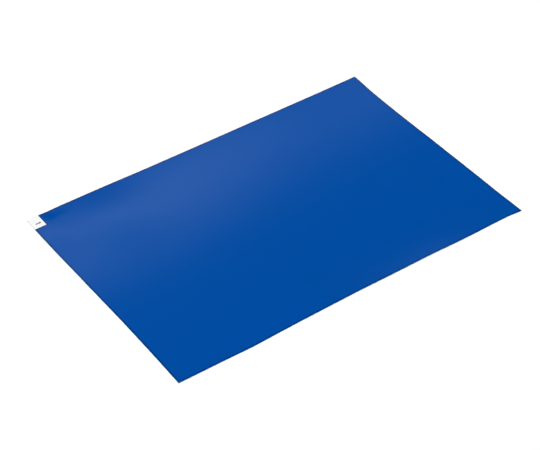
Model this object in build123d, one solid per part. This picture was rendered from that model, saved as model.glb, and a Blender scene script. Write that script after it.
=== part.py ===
from build123d import *
import os

# Cleanroom sticky mat: a pad of thin peel-off films on a base film, with a numbered tab on the corner of each film.
# Millimetres. The origin is the middle of the underside, +X runs along the long side and +Z is up.
# The tabs are at the corner of lowest X and highest Y. Film 1 is on top, and each film carries the tab of its number.

# Outline of the pad
mat_length = 900.0
mat_width = 600.0

# Layers that stay on the floor, from the floor up
liner_thickness = 0.10
floor_adhesive = 0.02
base_thickness = 0.10

# Peel-off films
film_count = 30
film_thickness = 0.040
tack_coat = 0.010  # the tacky coat on a film's upper face, which the next film or a tab lies on

# Corner tabs
tab_length = 28.0  # along the long side of the pad
tab_width = 37.0
tab_thickness = 0.040
tab_clearance = 0.010  # air over a tab, which nothing sticks to
drape_run = 30.0  # how far past the tabs a film takes to come down to the level of the pad

# Levels that follow from these
base_level = liner_thickness + floor_adhesive
pad_level = base_level + base_thickness + tack_coat
film_pitch = film_thickness + tack_coat
tab_pitch = tab_thickness + tab_clearance


def sheet(thickness, level):
    """A flat sheet with the pad's outline, its underside at the level given."""
    outline = Rectangle(mat_length, mat_width)
    return Pos(0, 0, level) * extrude(outline, thickness)


def films_below(number):
    """How many films lie under the film of this number."""
    return film_count - number


def film_level(number):
    """Underside of a film where it lies flat, away from the tabs."""
    return pad_level + films_below(number) * film_pitch


def corner_lift(number):
    """How far the tabs below it raise a film's corner."""
    return films_below(number) * tab_pitch


def corner_rise(height, level):
    """The raised corner: level over the tabs, then sloping down on its two inner sides, mitred between them."""
    reach_x = tab_length + drape_run
    reach_y = tab_width + drape_run
    slope_x = Polyline((0, 0), (reach_x, 0), (tab_length, height), (0, height), close=True)
    slope_y = Polyline((0, 0), (-reach_y, 0), (-tab_width, height), (0, height), close=True)
    along_y = extrude(Plane.XZ * make_face(slope_x), reach_y, dir=(0, -1, 0))
    along_x = extrude(Plane.YZ * make_face(slope_y), reach_x, dir=(1, 0, 0))
    return Pos(-mat_length / 2, mat_width / 2, level) * (along_y & along_x)


def film(number):
    """One peel-off film, lying flat and draped over the tabs of the films below it."""
    level = film_level(number)
    lift = corner_lift(number)
    flat = sheet(film_thickness, level)
    if lift == 0:
        return flat
    return flat + corner_rise(lift, level + film_thickness) - corner_rise(lift, level)


def tab(number):
    """The numbered tab on a film's corner, flush with the pad's two outer edges."""
    level = film_level(number) + corner_lift(number) + film_pitch
    outline = Rectangle(tab_length, tab_width, align=(Align.MIN, Align.MAX))
    return Pos(-mat_length / 2, mat_width / 2, level) * extrude(outline, tab_thickness)


def stack(piece):
    """The films or the tabs under the uppermost one, as separate pieces."""
    return Compound(children=[piece(number) for number in range(film_count, 1, -1)])


os.makedirs("parts", exist_ok=True)
export_step(sheet(liner_thickness, 0), "parts/release_liner.step")
export_step(sheet(base_thickness, base_level), "parts/base_film.step")
export_step(stack(film), "parts/film_stack.step")
export_step(stack(tab), "parts/tab_stack.step")
export_step(film(1), "parts/top_film.step")
export_step(tab(1), "parts/top_tab.step")
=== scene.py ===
import math
import random

import bmesh
import bpy
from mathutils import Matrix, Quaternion, Vector


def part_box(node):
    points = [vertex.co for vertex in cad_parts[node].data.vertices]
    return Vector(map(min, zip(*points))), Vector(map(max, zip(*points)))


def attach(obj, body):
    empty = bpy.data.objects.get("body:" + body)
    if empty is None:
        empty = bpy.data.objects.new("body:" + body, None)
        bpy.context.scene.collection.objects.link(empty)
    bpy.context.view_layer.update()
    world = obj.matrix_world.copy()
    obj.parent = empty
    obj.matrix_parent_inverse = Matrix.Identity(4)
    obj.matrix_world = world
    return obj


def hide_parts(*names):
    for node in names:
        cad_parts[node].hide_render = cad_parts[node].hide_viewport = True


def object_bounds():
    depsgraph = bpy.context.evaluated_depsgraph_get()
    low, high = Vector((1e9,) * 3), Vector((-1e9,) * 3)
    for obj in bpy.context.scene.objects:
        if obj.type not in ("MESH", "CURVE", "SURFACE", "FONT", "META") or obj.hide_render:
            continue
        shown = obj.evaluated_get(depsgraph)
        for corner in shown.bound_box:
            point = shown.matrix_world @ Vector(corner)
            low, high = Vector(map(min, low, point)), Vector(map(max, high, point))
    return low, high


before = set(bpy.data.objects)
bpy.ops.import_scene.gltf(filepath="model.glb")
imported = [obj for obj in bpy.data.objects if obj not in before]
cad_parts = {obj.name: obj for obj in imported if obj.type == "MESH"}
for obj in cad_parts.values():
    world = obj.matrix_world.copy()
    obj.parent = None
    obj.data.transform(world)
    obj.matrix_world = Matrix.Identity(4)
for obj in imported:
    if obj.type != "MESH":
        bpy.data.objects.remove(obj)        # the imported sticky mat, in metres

cad_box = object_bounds()

# Release liner
# A sheet of siliconised white paper over the floor adhesive, on until the mat is laid. It lies
# under the whole pad, and follows the gentle waves that the pad keeps from lying in its box.
MM = 0.001
mat_length = (cad_box[1] - cad_box[0]).x
mat_width = (cad_box[1] - cad_box[0]).y
tab_corner = Vector((cad_box[0].x, cad_box[1].y, 0))
tab_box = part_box("top_tab")
tab_length = tab_box[1].x - tab_box[0].x
tab_width = tab_box[1].y - tab_box[0].y
liner_thickness = 0.10 * MM

# How far past the tabs the pad comes down off them
drape_near = 140 * MM         # toward the near edge
drape_beside = 28 * MM        # along the far edge, where it falls off their end
drape_below = 65 * MM         # and along the mat, further in from that edge
drape_turn_from = 8 * MM      # how far in the first of these starts to give way to the second
drape_turn_over = 24 * MM     # and the distance that it takes

# Where the near edge stands off the floor: the middle of the lifted stretch, measured along the
# mat from the tabs' short edge, the height at the edge, half the length, and the reach inwards
near_edge_curls = [
    (460 * MM, 3.2 * MM, 110 * MM, 112 * MM),
    (640 * MM, 4.9 * MM, 130 * MM, 116 * MM),
    (800 * MM, 2.0 * MM, 90 * MM, 112 * MM),
]

# Where the pad is not quite flat: the place, the height, and the reach round it
low_hills = [
    ((0, 600 * MM), 1.2 * MM, 45 * MM),
    ((160 * MM, 88 * MM), 1.4 * MM, 88 * MM),
    ((76 * MM, 4 * MM), 0.45 * MM, 26 * MM),
]

# Where its outline leaves the true rectangle: the place, the shift, and the reach round it
outline_shifts = [
    ((900 * MM, 0), (4.7 * MM, -0.8 * MM), 58 * MM),
    ((900 * MM, 600 * MM), (-0.5 * MM, 3.2 * MM), 26 * MM),
    ((175 * MM, 600 * MM), (0, 1.9 * MM), 55 * MM),
    ((340 * MM, 600 * MM), (0, -1.0 * MM), 85 * MM),
    ((575 * MM, 600 * MM), (0, 1.3 * MM), 85 * MM),
    ((742 * MM, 600 * MM), (0, 3.0 * MM), 98 * MM),
    ((900 * MM, 186 * MM), (-0.7 * MM, 0), 60 * MM),
    ((900 * MM, 528 * MM), (-0.9 * MM, 0), 42 * MM),
    ((95 * MM, 0), (0, -1.4 * MM), 65 * MM),
    ((200 * MM, 0), (0, -1.3 * MM), 75 * MM),
    ((0, 105 * MM), (-1.05 * MM, 0), 85 * MM),
    ((0, 395 * MM), (1.15 * MM, 0), 105 * MM),
    ((0, 610 * MM), (-1.9 * MM, 0), 60 * MM),
]


def swell(distance, reach):
    """A smooth hill: 1 at no distance, and down to nothing by about twice its reach."""
    return math.exp(-((distance / reach) ** 2))


def curl(distance, reach):
    """From 1 at an edge to 0 at its reach, steepest at the edge."""
    return max(1 - distance / reach, 0) ** 2


def wave(along, across):
    """How far the pad stands off the floor, at a point measured from the corner with the tabs."""
    inward = mat_width - across
    lift = 0
    for place, height, reach in low_hills:
        lift += height * swell(math.hypot(along - place[0], across - place[1]), reach)
    for middle, height, half_length, reach in near_edge_curls:
        lift += height * swell(along - middle, half_length) * curl(inward, reach)
    return lift


def outline_shift(along, across):
    """How far a point moves in the plane of the floor."""
    moved = Vector((0, 0))
    for place, shift, reach in outline_shifts:
        distance = math.hypot(along - place[0], across - place[1])
        moved += Vector(shift) * swell(distance, reach)
    return moved


def smooth(share):
    """From 0 to 1 with no sudden start or end."""
    share = min(max(share, 0), 1)
    return share * share * (3 - 2 * share)


def fall(distance, run):
    """From 1 at the edge of the tabs to 0 where a draped film is down on the pad again."""
    return 1 - smooth(distance / run)


def drape(along, across):
    """The share of the tabs' height that a film has at a point: all of it over the tabs."""
    below = smooth((across - drape_turn_from) / drape_turn_over)
    run_along = drape_beside + (drape_below - drape_beside) * below
    return fall(along - tab_length, run_along) * fall(across - tab_width, drape_near)


painted_shade_rim = 5 * MM                  # the width of the border band, painted a deeper blue as painted shade
crease = 4 * MM               # the fold where a film comes down off the tabs
beyond_tabs = 1 * MM          # a point this near to the tabs' edge still counts as over them

# Cells of a sheet along each side, as a count and the length that they share: over the tabs,
# down the drape, and over the rest of the pad, with one for the rim at each end
over_tabs_along = [(1, painted_shade_rim), (4, tab_length - painted_shade_rim)]
over_tabs_across = [(1, painted_shade_rim), (5, tab_width - painted_shade_rim)]
cells_along = over_tabs_along + [
    (1, crease),
    (7, drape_beside - crease),
    (28, mat_length - tab_length - drape_beside - painted_shade_rim),
    (1, painted_shade_rim),
]
cells_across = over_tabs_across + [
    (1, crease),
    (7, drape_below - crease),
    (18, mat_width - tab_width - drape_below - painted_shade_rim),
    (1, painted_shade_rim),
]


def station(step, spans):
    """Distance from the tabs' corner to the cell line with this number."""
    distance = 0
    for cells, length in spans:
        distance += length * min(max(step / cells, 0), 1)
        step -= cells
    return distance


def lay_sheet(bm, level, rise, thickness, along=cells_along, across=cells_across, shift=(0, 0)):
    """Adds a thin sheet. level is its underside on the flat, rise what the tabs below it add."""
    columns = sum(cells for cells, _ in along)
    rows = sum(cells for cells, _ in across)
    painted_shade = bm.verts.layers.float.get("painted_shade") or bm.verts.layers.float.new("painted_shade")
    half = 0.5  # of a square grid with sides of 1, whose lines are moved to their stations
    made = bmesh.ops.create_grid(bm, x_segments=columns, y_segments=rows, size=half)
    for vert in made["verts"]:
        u = station(round((vert.co.x + half) * columns), along)
        v = station(round((half - vert.co.y) * rows), across)
        over_tabs = max(u - tab_length, v - tab_width) < beyond_tabs
        # The border and all over the tabs take the painted shade, which fades over the next cell
        # in: a painted dark line round the pad and a painted shadow round the tabs' edge.
        vert[painted_shade] = 1.0 if over_tabs or vert.is_boundary else 0.0
        height = level + thickness + rise * drape(u, v) + wave(u, v)
        moved = outline_shift(u, v)
        vert.co = tab_corner + Vector((u + moved.x + shift[0], -v - moved.y + shift[1], height))
    faces = list({face for vert in made["verts"] for face in vert.link_faces})
    under = bmesh.ops.extrude_face_region(bm, geom=faces)["geom"]
    lowered = [item for item in under if isinstance(item, bmesh.types.BMVert)]
    bmesh.ops.translate(bm, verts=lowered, vec=(0, 0, -thickness))


cut_angle = math.radians(40)  # past this two faces meet in a sharp edge


def finish_piece(name, bm, material, slot, *nodes):
    """Turns the sheets into one piece that rides on the mat in place of its plain nodes."""
    bmesh.ops.recalc_face_normals(bm, faces=bm.faces)
    for face in bm.faces:
        face.smooth = True
    for edge in bm.edges:
        edge.smooth = edge.calc_face_angle(0) < cut_angle
    mesh = bpy.data.meshes.new(name)
    bm.to_mesh(mesh)
    bm.free()
    mesh.materials.append(material)
    piece = bpy.data.objects.new(name, mesh)
    bpy.context.scene.collection.objects.link(piece)
    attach(piece, "root")
    if nodes:
        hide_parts(*nodes)
    return piece


def srgb(red, green, blue):
    """A colour in the 0 to 255 steps of a screen, turned linear by the sRGB standard's curve."""
    def linear(step):
        share = step / 255
        return share / 12.92 if share <= 0.04045 else ((share + 0.055) / 1.055) ** 2.4
    return (linear(red), linear(green), linear(blue), 1.0)


def new_group(name, inputs, outputs):
    """An empty node group with named number inputs and named outputs."""
    group = bpy.data.node_groups.new(name, "ShaderNodeTree")
    for title, value in inputs:
        socket = group.interface.new_socket(
            title, in_out="INPUT", socket_type="NodeSocketFloat")
        socket.default_value = value
    for title in outputs:
        group.interface.new_socket(title, in_out="OUTPUT", socket_type="NodeSocketFloat")
    return group, group.nodes.new("NodeGroupInput"), group.nodes.new("NodeGroupOutput")


def math_node(nodes, operation, second=None):
    """A Math node, with its second input set where that is a constant."""
    node = nodes.new("ShaderNodeMath")
    node.operation = operation
    if second is not None:
        node.inputs[1].default_value = second
    return node


def mix_node(nodes, **colours):
    """A Mix node for colours, with those of its two colours set that are constant."""
    node = nodes.new("ShaderNodeMix")
    node.data_type = "RGBA"
    for place, colour in colours.items():
        node.inputs[place].default_value = colour
    return node


def ramp(nodes, start, end, low, high, curve="LINEAR"):
    """A change from low to high between two places."""
    node = nodes.new("ShaderNodeMapRange")
    node.interpolation_type = curve
    node.inputs["From Min"].default_value = start
    node.inputs["From Max"].default_value = end
    node.inputs["To Min"].default_value = low
    node.inputs["To Max"].default_value = high
    return node


cut_side_rise = 0.5           # where the surface normal rises less than this, it is a cut side


def cut_edge_group():
    """A mask of the cut sides of a sheet: 1 where the surface faces sideways, 0 on its faces."""
    group, _, out = new_group("cut edge", [], ["Mask"])
    nodes, links = group.nodes, group.links
    facing = nodes.new("ShaderNodeNewGeometry")
    split = nodes.new("ShaderNodeSeparateXYZ")
    size = math_node(nodes, "ABSOLUTE")
    side = math_node(nodes, "LESS_THAN", second=cut_side_rise)
    links.new(facing.outputs["True Normal"], split.inputs[0])
    links.new(split.outputs["Z"], size.inputs[0])
    links.new(size.outputs[0], side.inputs[0])
    links.new(side.outputs[0], out.inputs["Mask"])
    return group


grain_inputs = [              # scales in steps a metre, depths in millimetres
    ("Streaks", 60.0),
    ("Streak depth", 0.001),
    ("Unevenness", 12.0),
    ("Unevenness depth", 0.02),
]
streak_stretch = (0.02, 1.0, 1.0)  # they run fifty times as far along the sheet as across it
streak_detail = 4.0
unevenness_detail = 2.0


def film_grain_group():
    """What rolling and winding leave in a sheet: faint streaks along it and an unevenness."""
    group, given, out = new_group("film grain", grain_inputs, ["Streak", "Patch", "Height"])
    nodes, links = group.nodes, group.links
    place = nodes.new("ShaderNodeTexCoord")
    stretch = nodes.new("ShaderNodeVectorMath")
    stretch.operation = "MULTIPLY"
    stretch.inputs[1].default_value = streak_stretch
    streak = nodes.new("ShaderNodeTexNoise")
    patch = nodes.new("ShaderNodeTexNoise")
    streak.inputs["Detail"].default_value = streak_detail
    patch.inputs["Detail"].default_value = unevenness_detail
    links.new(place.outputs["Object"], stretch.inputs[0])
    links.new(stretch.outputs[0], streak.inputs["Vector"])
    links.new(place.outputs["Object"], patch.inputs["Vector"])
    links.new(given.outputs["Streaks"], streak.inputs["Scale"])
    links.new(given.outputs["Unevenness"], patch.inputs["Scale"])
    shallow = math_node(nodes, "MULTIPLY")
    height = math_node(nodes, "MULTIPLY_ADD")
    links.new(streak.outputs["Fac"], shallow.inputs[0])
    links.new(given.outputs["Streak depth"], shallow.inputs[1])
    links.new(patch.outputs["Fac"], height.inputs[0])
    links.new(given.outputs["Unevenness depth"], height.inputs[1])
    links.new(shallow.outputs[0], height.inputs[2])
    links.new(streak.outputs["Fac"], out.inputs["Streak"])
    links.new(patch.outputs["Fac"], out.inputs["Patch"])
    links.new(height.outputs[0], out.inputs["Height"])
    return group


cut_edge = cut_edge_group()
film_grain = film_grain_group()
streak_levels = (0.3, 0.7)    # nearly all of the streak noise lies between these
painted_shade_levels = (0.0, 0.8)       # the painted shade starts at the first, and is full at the second


def sheet_material(name, face, face_deep, edge, roughness, spread, grain, painted_shade=None):
    """A thin sheet: its faces vary between two near colours, its cut sides have a colour of their
    own, and a painted shade can darken its rim. Its gloss varies along the streaks, by the spread
    given."""
    material = bpy.data.materials.new(name)
    material.use_nodes = True
    nodes, links = material.node_tree.nodes, material.node_tree.links
    shader = nodes["Principled BSDF"]
    marks = nodes.new("ShaderNodeGroup")
    marks.node_tree = film_grain
    for title, value in grain.items():
        marks.inputs[title].default_value = value
    sides = nodes.new("ShaderNodeGroup")
    sides.node_tree = cut_edge
    colour = mix_node(nodes, A=face_deep, B=face)
    cut = mix_node(nodes, B=edge)
    gloss = ramp(nodes, *streak_levels, roughness - spread, roughness + spread)
    relief = nodes.new("ShaderNodeBump")
    relief.inputs["Strength"].default_value = 1.0
    relief.inputs["Distance"].default_value = MM
    links.new(marks.outputs["Patch"], colour.inputs["Factor"])
    if painted_shade:
        border = nodes.new("ShaderNodeAttribute")
        border.attribute_name = "painted_shade"
        inner = ramp(nodes, *painted_shade_levels, 0.0, 1.0, curve="SMOOTHSTEP")
        painted_shade_tint = mix_node(nodes, B=painted_shade)
        links.new(border.outputs["Fac"], inner.inputs["Value"])
        links.new(inner.outputs["Result"], painted_shade_tint.inputs["Factor"])
        links.new(colour.outputs["Result"], painted_shade_tint.inputs["A"])
        links.new(painted_shade_tint.outputs["Result"], cut.inputs["A"])
    else:
        links.new(colour.outputs["Result"], cut.inputs["A"])
    links.new(sides.outputs["Mask"], cut.inputs["Factor"])
    links.new(cut.outputs["Result"], shader.inputs["Base Color"])
    links.new(marks.outputs["Streak"], gloss.inputs["Value"])
    links.new(gloss.outputs["Result"], shader.inputs["Roughness"])
    links.new(marks.outputs["Height"], relief.inputs["Height"])
    links.new(relief.outputs["Normal"], shader.inputs["Normal"])
    return material


liner_paper = sheet_material(
    "siliconised paper",
    face=srgb(238, 236, 229), face_deep=srgb(229, 226, 217), edge=srgb(226, 224, 216),
    roughness=0.42, spread=0.06,
    grain={"Streaks": 140.0, "Streak depth": 0.008, "Unevenness": 22.0, "Unevenness depth": 0.03})
liner_mesh = bmesh.new()
lay_sheet(liner_mesh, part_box("release_liner")[0].z, 0, liner_thickness)
liner = finish_piece(
    "release_liner_sheet", liner_mesh, liner_paper, "release_liner", "release_liner")

# Base film
# The heavier film of clear-blue polyethylene under the last peel-off film. The floor adhesive is
# on its underside, so it stays on the floor while the films above it are peeled off one by one.
base_thickness = 0.10 * MM
base_plastic = sheet_material(
    "base polyethylene",
    face=srgb(176, 197, 220), face_deep=srgb(166, 189, 214), edge=srgb(186, 204, 224),
    roughness=0.35, spread=0.05,
    grain={"Streaks": 70.0, "Streak depth": 0.004, "Unevenness": 12.0, "Unevenness depth": 0.02})
base_mesh = bmesh.new()
lay_sheet(base_mesh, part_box("base_film")[0].z, 0, base_thickness)
base = finish_piece("base_film_sheet", base_mesh, base_plastic, "base_film", "base_film")

# Film stack
# Twenty-nine peel-off films of thin blue polyethylene, each with a tacky coat on its upper face.
# They are laid up wide and die-cut together, so their edges line up to a tenth of a millimetre.
film_thickness = 0.040 * MM
films_under_top = 29
pad_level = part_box("film_stack")[0].z
top_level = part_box("top_film")[0].z
film_pitch = (top_level - pad_level) / films_under_top
top_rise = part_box("top_film")[1].z - film_thickness - top_level
tab_pitch = top_rise / films_under_top
edge_scatter = 0.08 * MM
scatter_seed = 4


def edge_slip():
    """How far one sheet's edges stand from where they all should be, along and across."""
    along = random.uniform(-edge_scatter, edge_scatter)
    across = random.uniform(-edge_scatter, edge_scatter)
    return (along, across)


# The pale blue of the films' cut sides is painted light, standing in for light given back through
# the edges of the stack.
film_plastic = sheet_material(
    "blue polyethylene",
    face=srgb(0, 78, 165), face_deep=srgb(0, 76, 161), edge=srgb(134, 207, 246),
    roughness=0.12, spread=0.012,
    grain={"Streaks": 60.0, "Streak depth": 0.001, "Unevenness": 10.0, "Unevenness depth": 0.04},
    painted_shade=srgb(0, 48, 112))
random.seed(scatter_seed)
stack_mesh = bmesh.new()
for below in range(films_under_top):
    lay_sheet(stack_mesh, pad_level + below * film_pitch, below * tab_pitch, film_thickness,
              shift=edge_slip())
finish_piece("film_stack_sheets", stack_mesh, film_plastic, "blue_film", "film_stack")

# Tab stack
# One white label on the upper face of each film, flush with the corner's two outer edges. It keeps
# a finger's width free of the tacky coat, to pick the film up by. On the mat each carries its
# number; these numbers are not drawn.
tab_thickness = tab_box[1].z - tab_box[0].z
tack_coat = tab_box[0].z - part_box("top_film")[1].z

# The grey of the labels' cut sides is painted shade, for the side of the white stack that lies out
# of the light.
tab_plastic = sheet_material(
    "white label film",
    face=srgb(251, 253, 252), face_deep=srgb(248, 250, 249), edge=srgb(168, 169, 166),
    roughness=0.42, spread=0.05,
    grain={"Streaks": 300.0, "Streak depth": 0.002, "Unevenness": 60.0, "Unevenness depth": 0.01})
labels_mesh = bmesh.new()
for below in range(films_under_top):
    underside = pad_level + below * film_pitch + film_thickness + tack_coat
    lay_sheet(labels_mesh, underside, below * tab_pitch, tab_thickness,
              over_tabs_along, over_tabs_across, shift=edge_slip())
finish_piece("tab_stack_labels", labels_mesh, tab_plastic, "white_tab", "tab_stack")

# Top film
# The film in use, film 1. It is the same blue polyethylene as the others, and its tacky face is
# the one that shows. Its border, and a line round the tabs' edge, are painted a deeper blue as
# painted shade.
top_mesh = bmesh.new()
lay_sheet(top_mesh, top_level, top_rise, film_thickness)
top = finish_piece("top_film_sheet", top_mesh, film_plastic, "blue_film", "top_film")

# Top tab and its figure
# The white label of the film in use. Its figure 1 is printed in black, reads from the short edge
# of the mat, and counts the films as they are used.
top_tab_mesh = bmesh.new()
lay_sheet(top_tab_mesh, top_level + film_thickness + tack_coat, top_rise, tab_thickness,
          over_tabs_along, over_tabs_across)
top_tab = finish_piece("top_tab_label", top_tab_mesh, tab_plastic, "white_tab", "top_tab")

figure_height = 12.2 * MM
figure_stroke = 2.7 * MM
figure_flag = 1.9 * MM           # how far the short stroke at its head reaches to the left
flag_drop = 0.5 * figure_stroke  # how much lower than the head its end is
flag_end = 0.8 * figure_stroke   # how high its end is
flag_root = 0.4 * figure_stroke  # how far under the top of its end it meets the stem
figure_foot = 8.8 * MM           # from the short edge to the foot of the figure
figure_across = 22.0 * MM        # from the long edge to the left side of its stem
figure_relief = 0.02 * MM

ink_colour = srgb(28, 29, 32)
ink_thin = srgb(52, 53, 56)
ink_speckle = 2200.0          # spots a metre
ink_roughness = 0.55


def print_ink():
    """Black ink: a little uneven, and duller than the label that it is printed on."""
    material = bpy.data.materials.new("black ink")
    material.use_nodes = True
    nodes, links = material.node_tree.nodes, material.node_tree.links
    shader = nodes["Principled BSDF"]
    place = nodes.new("ShaderNodeTexCoord")
    spots = nodes.new("ShaderNodeTexNoise")
    spots.inputs["Scale"].default_value = ink_speckle
    tone = mix_node(nodes, A=ink_colour, B=ink_thin)
    shader.inputs["Roughness"].default_value = ink_roughness
    links.new(place.outputs["Object"], spots.inputs["Vector"])
    links.new(spots.outputs["Fac"], tone.inputs["Factor"])
    links.new(tone.outputs["Result"], shader.inputs["Base Color"])
    return material


def print_figure():
    """The printed figure 1 as a thin flat mesh on the label, its head away from the short edge."""
    shoulder = figure_height - flag_drop
    outline = [
        (0, 0), (figure_stroke, 0), (figure_stroke, figure_height), (0, figure_height),
        (-figure_flag, shoulder), (-figure_flag, shoulder - flag_end), (0, shoulder - flag_root)]
    bm = bmesh.new()
    verts = [bm.verts.new((across, up, 0)) for across, up in outline]
    bm.faces.new(verts)
    raised = bmesh.ops.extrude_face_region(bm, geom=bm.faces[:])["geom"]
    lifted = [item for item in raised if isinstance(item, bmesh.types.BMVert)]
    bmesh.ops.translate(bm, verts=lifted, vec=(0, 0, figure_relief))
    for vert in bm.verts:
        u = figure_foot + vert.co.y
        v = figure_across + vert.co.x
        vert.co = tab_corner + Vector((u, -v, tab_box[1].z + vert.co.z + wave(u, v)))
    return bm


finish_piece("top_tab_figure", print_figure(), print_ink(), "white_tab")

# Studio
# A white floor, pale walls, one broad soft light from high up on the near side, and a long strip
# softbox beyond the far edge, which the film mirrors as a soft sheen along its far side.
floor_size = 40.0
floor_gap = 0.02 * MM
floor_colour = (0.9, 0.9, 0.9, 1)
floor_roughness = 0.9
floor_lift = 0.12             # light that only the camera and mirrors see, so it renders white
white = (1, 1, 1, 1)


def studio_floor():
    """A matt white floor that renders white and keeps the shadow of the mat."""
    mesh = bpy.data.meshes.new("floor")
    bm = bmesh.new()
    bmesh.ops.create_grid(bm, x_segments=1, y_segments=1, size=floor_size / 2)
    bmesh.ops.translate(bm, verts=bm.verts, vec=(0, 0, -floor_gap))
    bm.to_mesh(mesh)
    bm.free()
    material = bpy.data.materials.new("white floor")
    material.use_nodes = True
    nodes, links = material.node_tree.nodes, material.node_tree.links
    shader = nodes["Principled BSDF"]
    shader.inputs["Base Color"].default_value = floor_colour
    shader.inputs["Roughness"].default_value = floor_roughness
    shader.inputs["Specular IOR Level"].default_value = 0.0
    shader.inputs["Emission Color"].default_value = white
    seen = nodes.new("ShaderNodeLightPath")
    seen_or_mirrored = math_node(nodes, "ADD")
    any_of_three = math_node(nodes, "ADD")
    any_of_three.use_clamp = True
    glow = math_node(nodes, "MULTIPLY", second=floor_lift)
    links.new(seen.outputs["Is Camera Ray"], seen_or_mirrored.inputs[0])
    links.new(seen.outputs["Is Glossy Ray"], seen_or_mirrored.inputs[1])
    links.new(seen_or_mirrored.outputs[0], any_of_three.inputs[0])
    links.new(seen.outputs["Is Transmission Ray"], any_of_three.inputs[1])
    links.new(any_of_three.outputs[0], glow.inputs[0])
    links.new(glow.outputs[0], shader.inputs["Emission Strength"])
    mesh.materials.append(material)
    floor = bpy.data.objects.new("floor", mesh)
    bpy.context.scene.collection.objects.link(floor)


main_light_from = Vector((-0.34, -0.47, 0.82))
main_light_strength = 3.6
main_light_spread = math.radians(50)


def main_light():
    """The broad light: even over the whole floor, and soft, so that the shadow is faint."""
    data = bpy.data.lights.new("main", "SUN")
    data.energy = main_light_strength
    data.angle = main_light_spread
    light = bpy.data.objects.new("main", data)
    light.rotation_euler = main_light_from.to_track_quat("Z", "Y").to_euler()
    bpy.context.scene.collection.objects.link(light)


# The strip softbox hangs upright, parallel to the long side of the mat
softbox_place = 2.6
softbox_ends = (-0.9, 3.3)
softbox_foot = (2.15, 2.53)   # it brightens from its foot up, between these heights
softbox_top = (2.35, 2.93)    # and fades out again towards its top
softbox_leans = (0.1, 0.05)   # for each metre along it, its foot and its top are this much lower
softbox_bright = 1.26
softbox_dim = 0.52
softbox_dims = (1.25, 2.2)    # bright up to the first place along it, and dim from the second on
softbox_colour = (0.55, 0.72, 1.0, 1)


def softbox():
    """An upright panel that gives off soft light, brightest along its middle."""
    mesh = bpy.data.meshes.new("softbox")
    bm = bmesh.new()
    bmesh.ops.create_grid(bm, x_segments=1, y_segments=1, size=0.5)
    for vert in bm.verts:
        along = softbox_ends[0] if vert.co.x < 0 else softbox_ends[1]
        foot = softbox_foot[0] - softbox_leans[0] * along
        top = softbox_top[1] - softbox_leans[1] * along
        vert.co = Vector((along, softbox_place, foot if vert.co.y < 0 else top))
    bm.to_mesh(mesh)
    bm.free()
    material = bpy.data.materials.new("softbox")
    material.use_nodes = True
    nodes, links = material.node_tree.nodes, material.node_tree.links
    nodes.remove(nodes["Principled BSDF"])
    glow = nodes.new("ShaderNodeEmission")
    glow.inputs["Color"].default_value = softbox_colour
    place = nodes.new("ShaderNodeTexCoord")
    split = nodes.new("ShaderNodeSeparateXYZ")
    foot = ramp(nodes, *softbox_foot, 0.0, 1.0, curve="SMOOTHSTEP")
    top = ramp(nodes, *softbox_top, 1.0, 0.0, curve="SMOOTHSTEP")
    length = ramp(nodes, *softbox_dims, softbox_bright, softbox_dim, curve="SMOOTHSTEP")
    foot_level = math_node(nodes, "MULTIPLY_ADD", second=softbox_leans[0])
    top_level = math_node(nodes, "MULTIPLY_ADD", second=softbox_leans[1])
    height = math_node(nodes, "MULTIPLY")
    strength = math_node(nodes, "MULTIPLY")
    links.new(place.outputs["Object"], split.inputs[0])
    for level, shade in ((foot_level, foot), (top_level, top)):
        links.new(split.outputs["X"], level.inputs[0])
        links.new(split.outputs["Z"], level.inputs[2])
        links.new(level.outputs[0], shade.inputs["Value"])
    links.new(split.outputs["X"], length.inputs["Value"])
    links.new(foot.outputs["Result"], height.inputs[0])
    links.new(top.outputs["Result"], height.inputs[1])
    links.new(height.outputs[0], strength.inputs[0])
    links.new(length.outputs["Result"], strength.inputs[1])
    links.new(strength.outputs[0], glow.inputs["Strength"])
    links.new(glow.outputs[0], nodes["Material Output"].inputs["Surface"])
    mesh.materials.append(material)
    panel = bpy.data.objects.new("softbox", mesh)
    panel.visible_camera = False
    panel.visible_shadow = False
    bpy.context.scene.collection.objects.link(panel)


walls = (0.02, 0.5)           # they fade between these heights of a direction of length 1
walls_bright = 1.0
above_walls = 0.003


def studio_world():
    """Pale walls low down and dark above. The film mirrors the walls at a low view."""
    world = bpy.data.worlds.new("studio")
    world.use_nodes = True
    nodes, links = world.node_tree.nodes, world.node_tree.links
    background = nodes["Background"]
    background.inputs["Color"].default_value = white
    direction = nodes.new("ShaderNodeTexCoord")
    split = nodes.new("ShaderNodeSeparateXYZ")
    fade = ramp(nodes, *walls, walls_bright, above_walls, curve="SMOOTHSTEP")
    links.new(direction.outputs["Generated"], split.inputs[0])
    links.new(split.outputs["Z"], fade.inputs["Value"])
    links.new(fade.outputs["Result"], background.inputs["Strength"])
    bpy.context.scene.world = world


studio_floor()
studio_world()
main_light()
softbox()
bpy.context.scene.view_settings.view_transform = "Standard"

# Camera
# It looks down on the mat from beyond its near left side, as in the photograph, from nearly four
# metres away through a long lens, and is turned very slightly about its line of view.
sensor_width = 36.0
lens = 119.0
camera_place = Vector((-1.7424, -2.3845, 2.5589))
camera_aim = Vector((0.4417, 0.6091, -0.6587))
camera_roll = math.radians(0.2)
camera_data = bpy.data.cameras.new("camera")
camera_data.sensor_width = sensor_width
camera_data.lens = lens
camera = bpy.data.objects.new("camera", camera_data)
camera.location = camera_place
level_turn = camera_aim.to_track_quat("-Z", "Y")
camera.rotation_euler = (level_turn @ Quaternion((0, 0, 1), camera_roll)).to_euler()
bpy.context.scene.collection.objects.link(camera)
bpy.context.scene.camera = camera
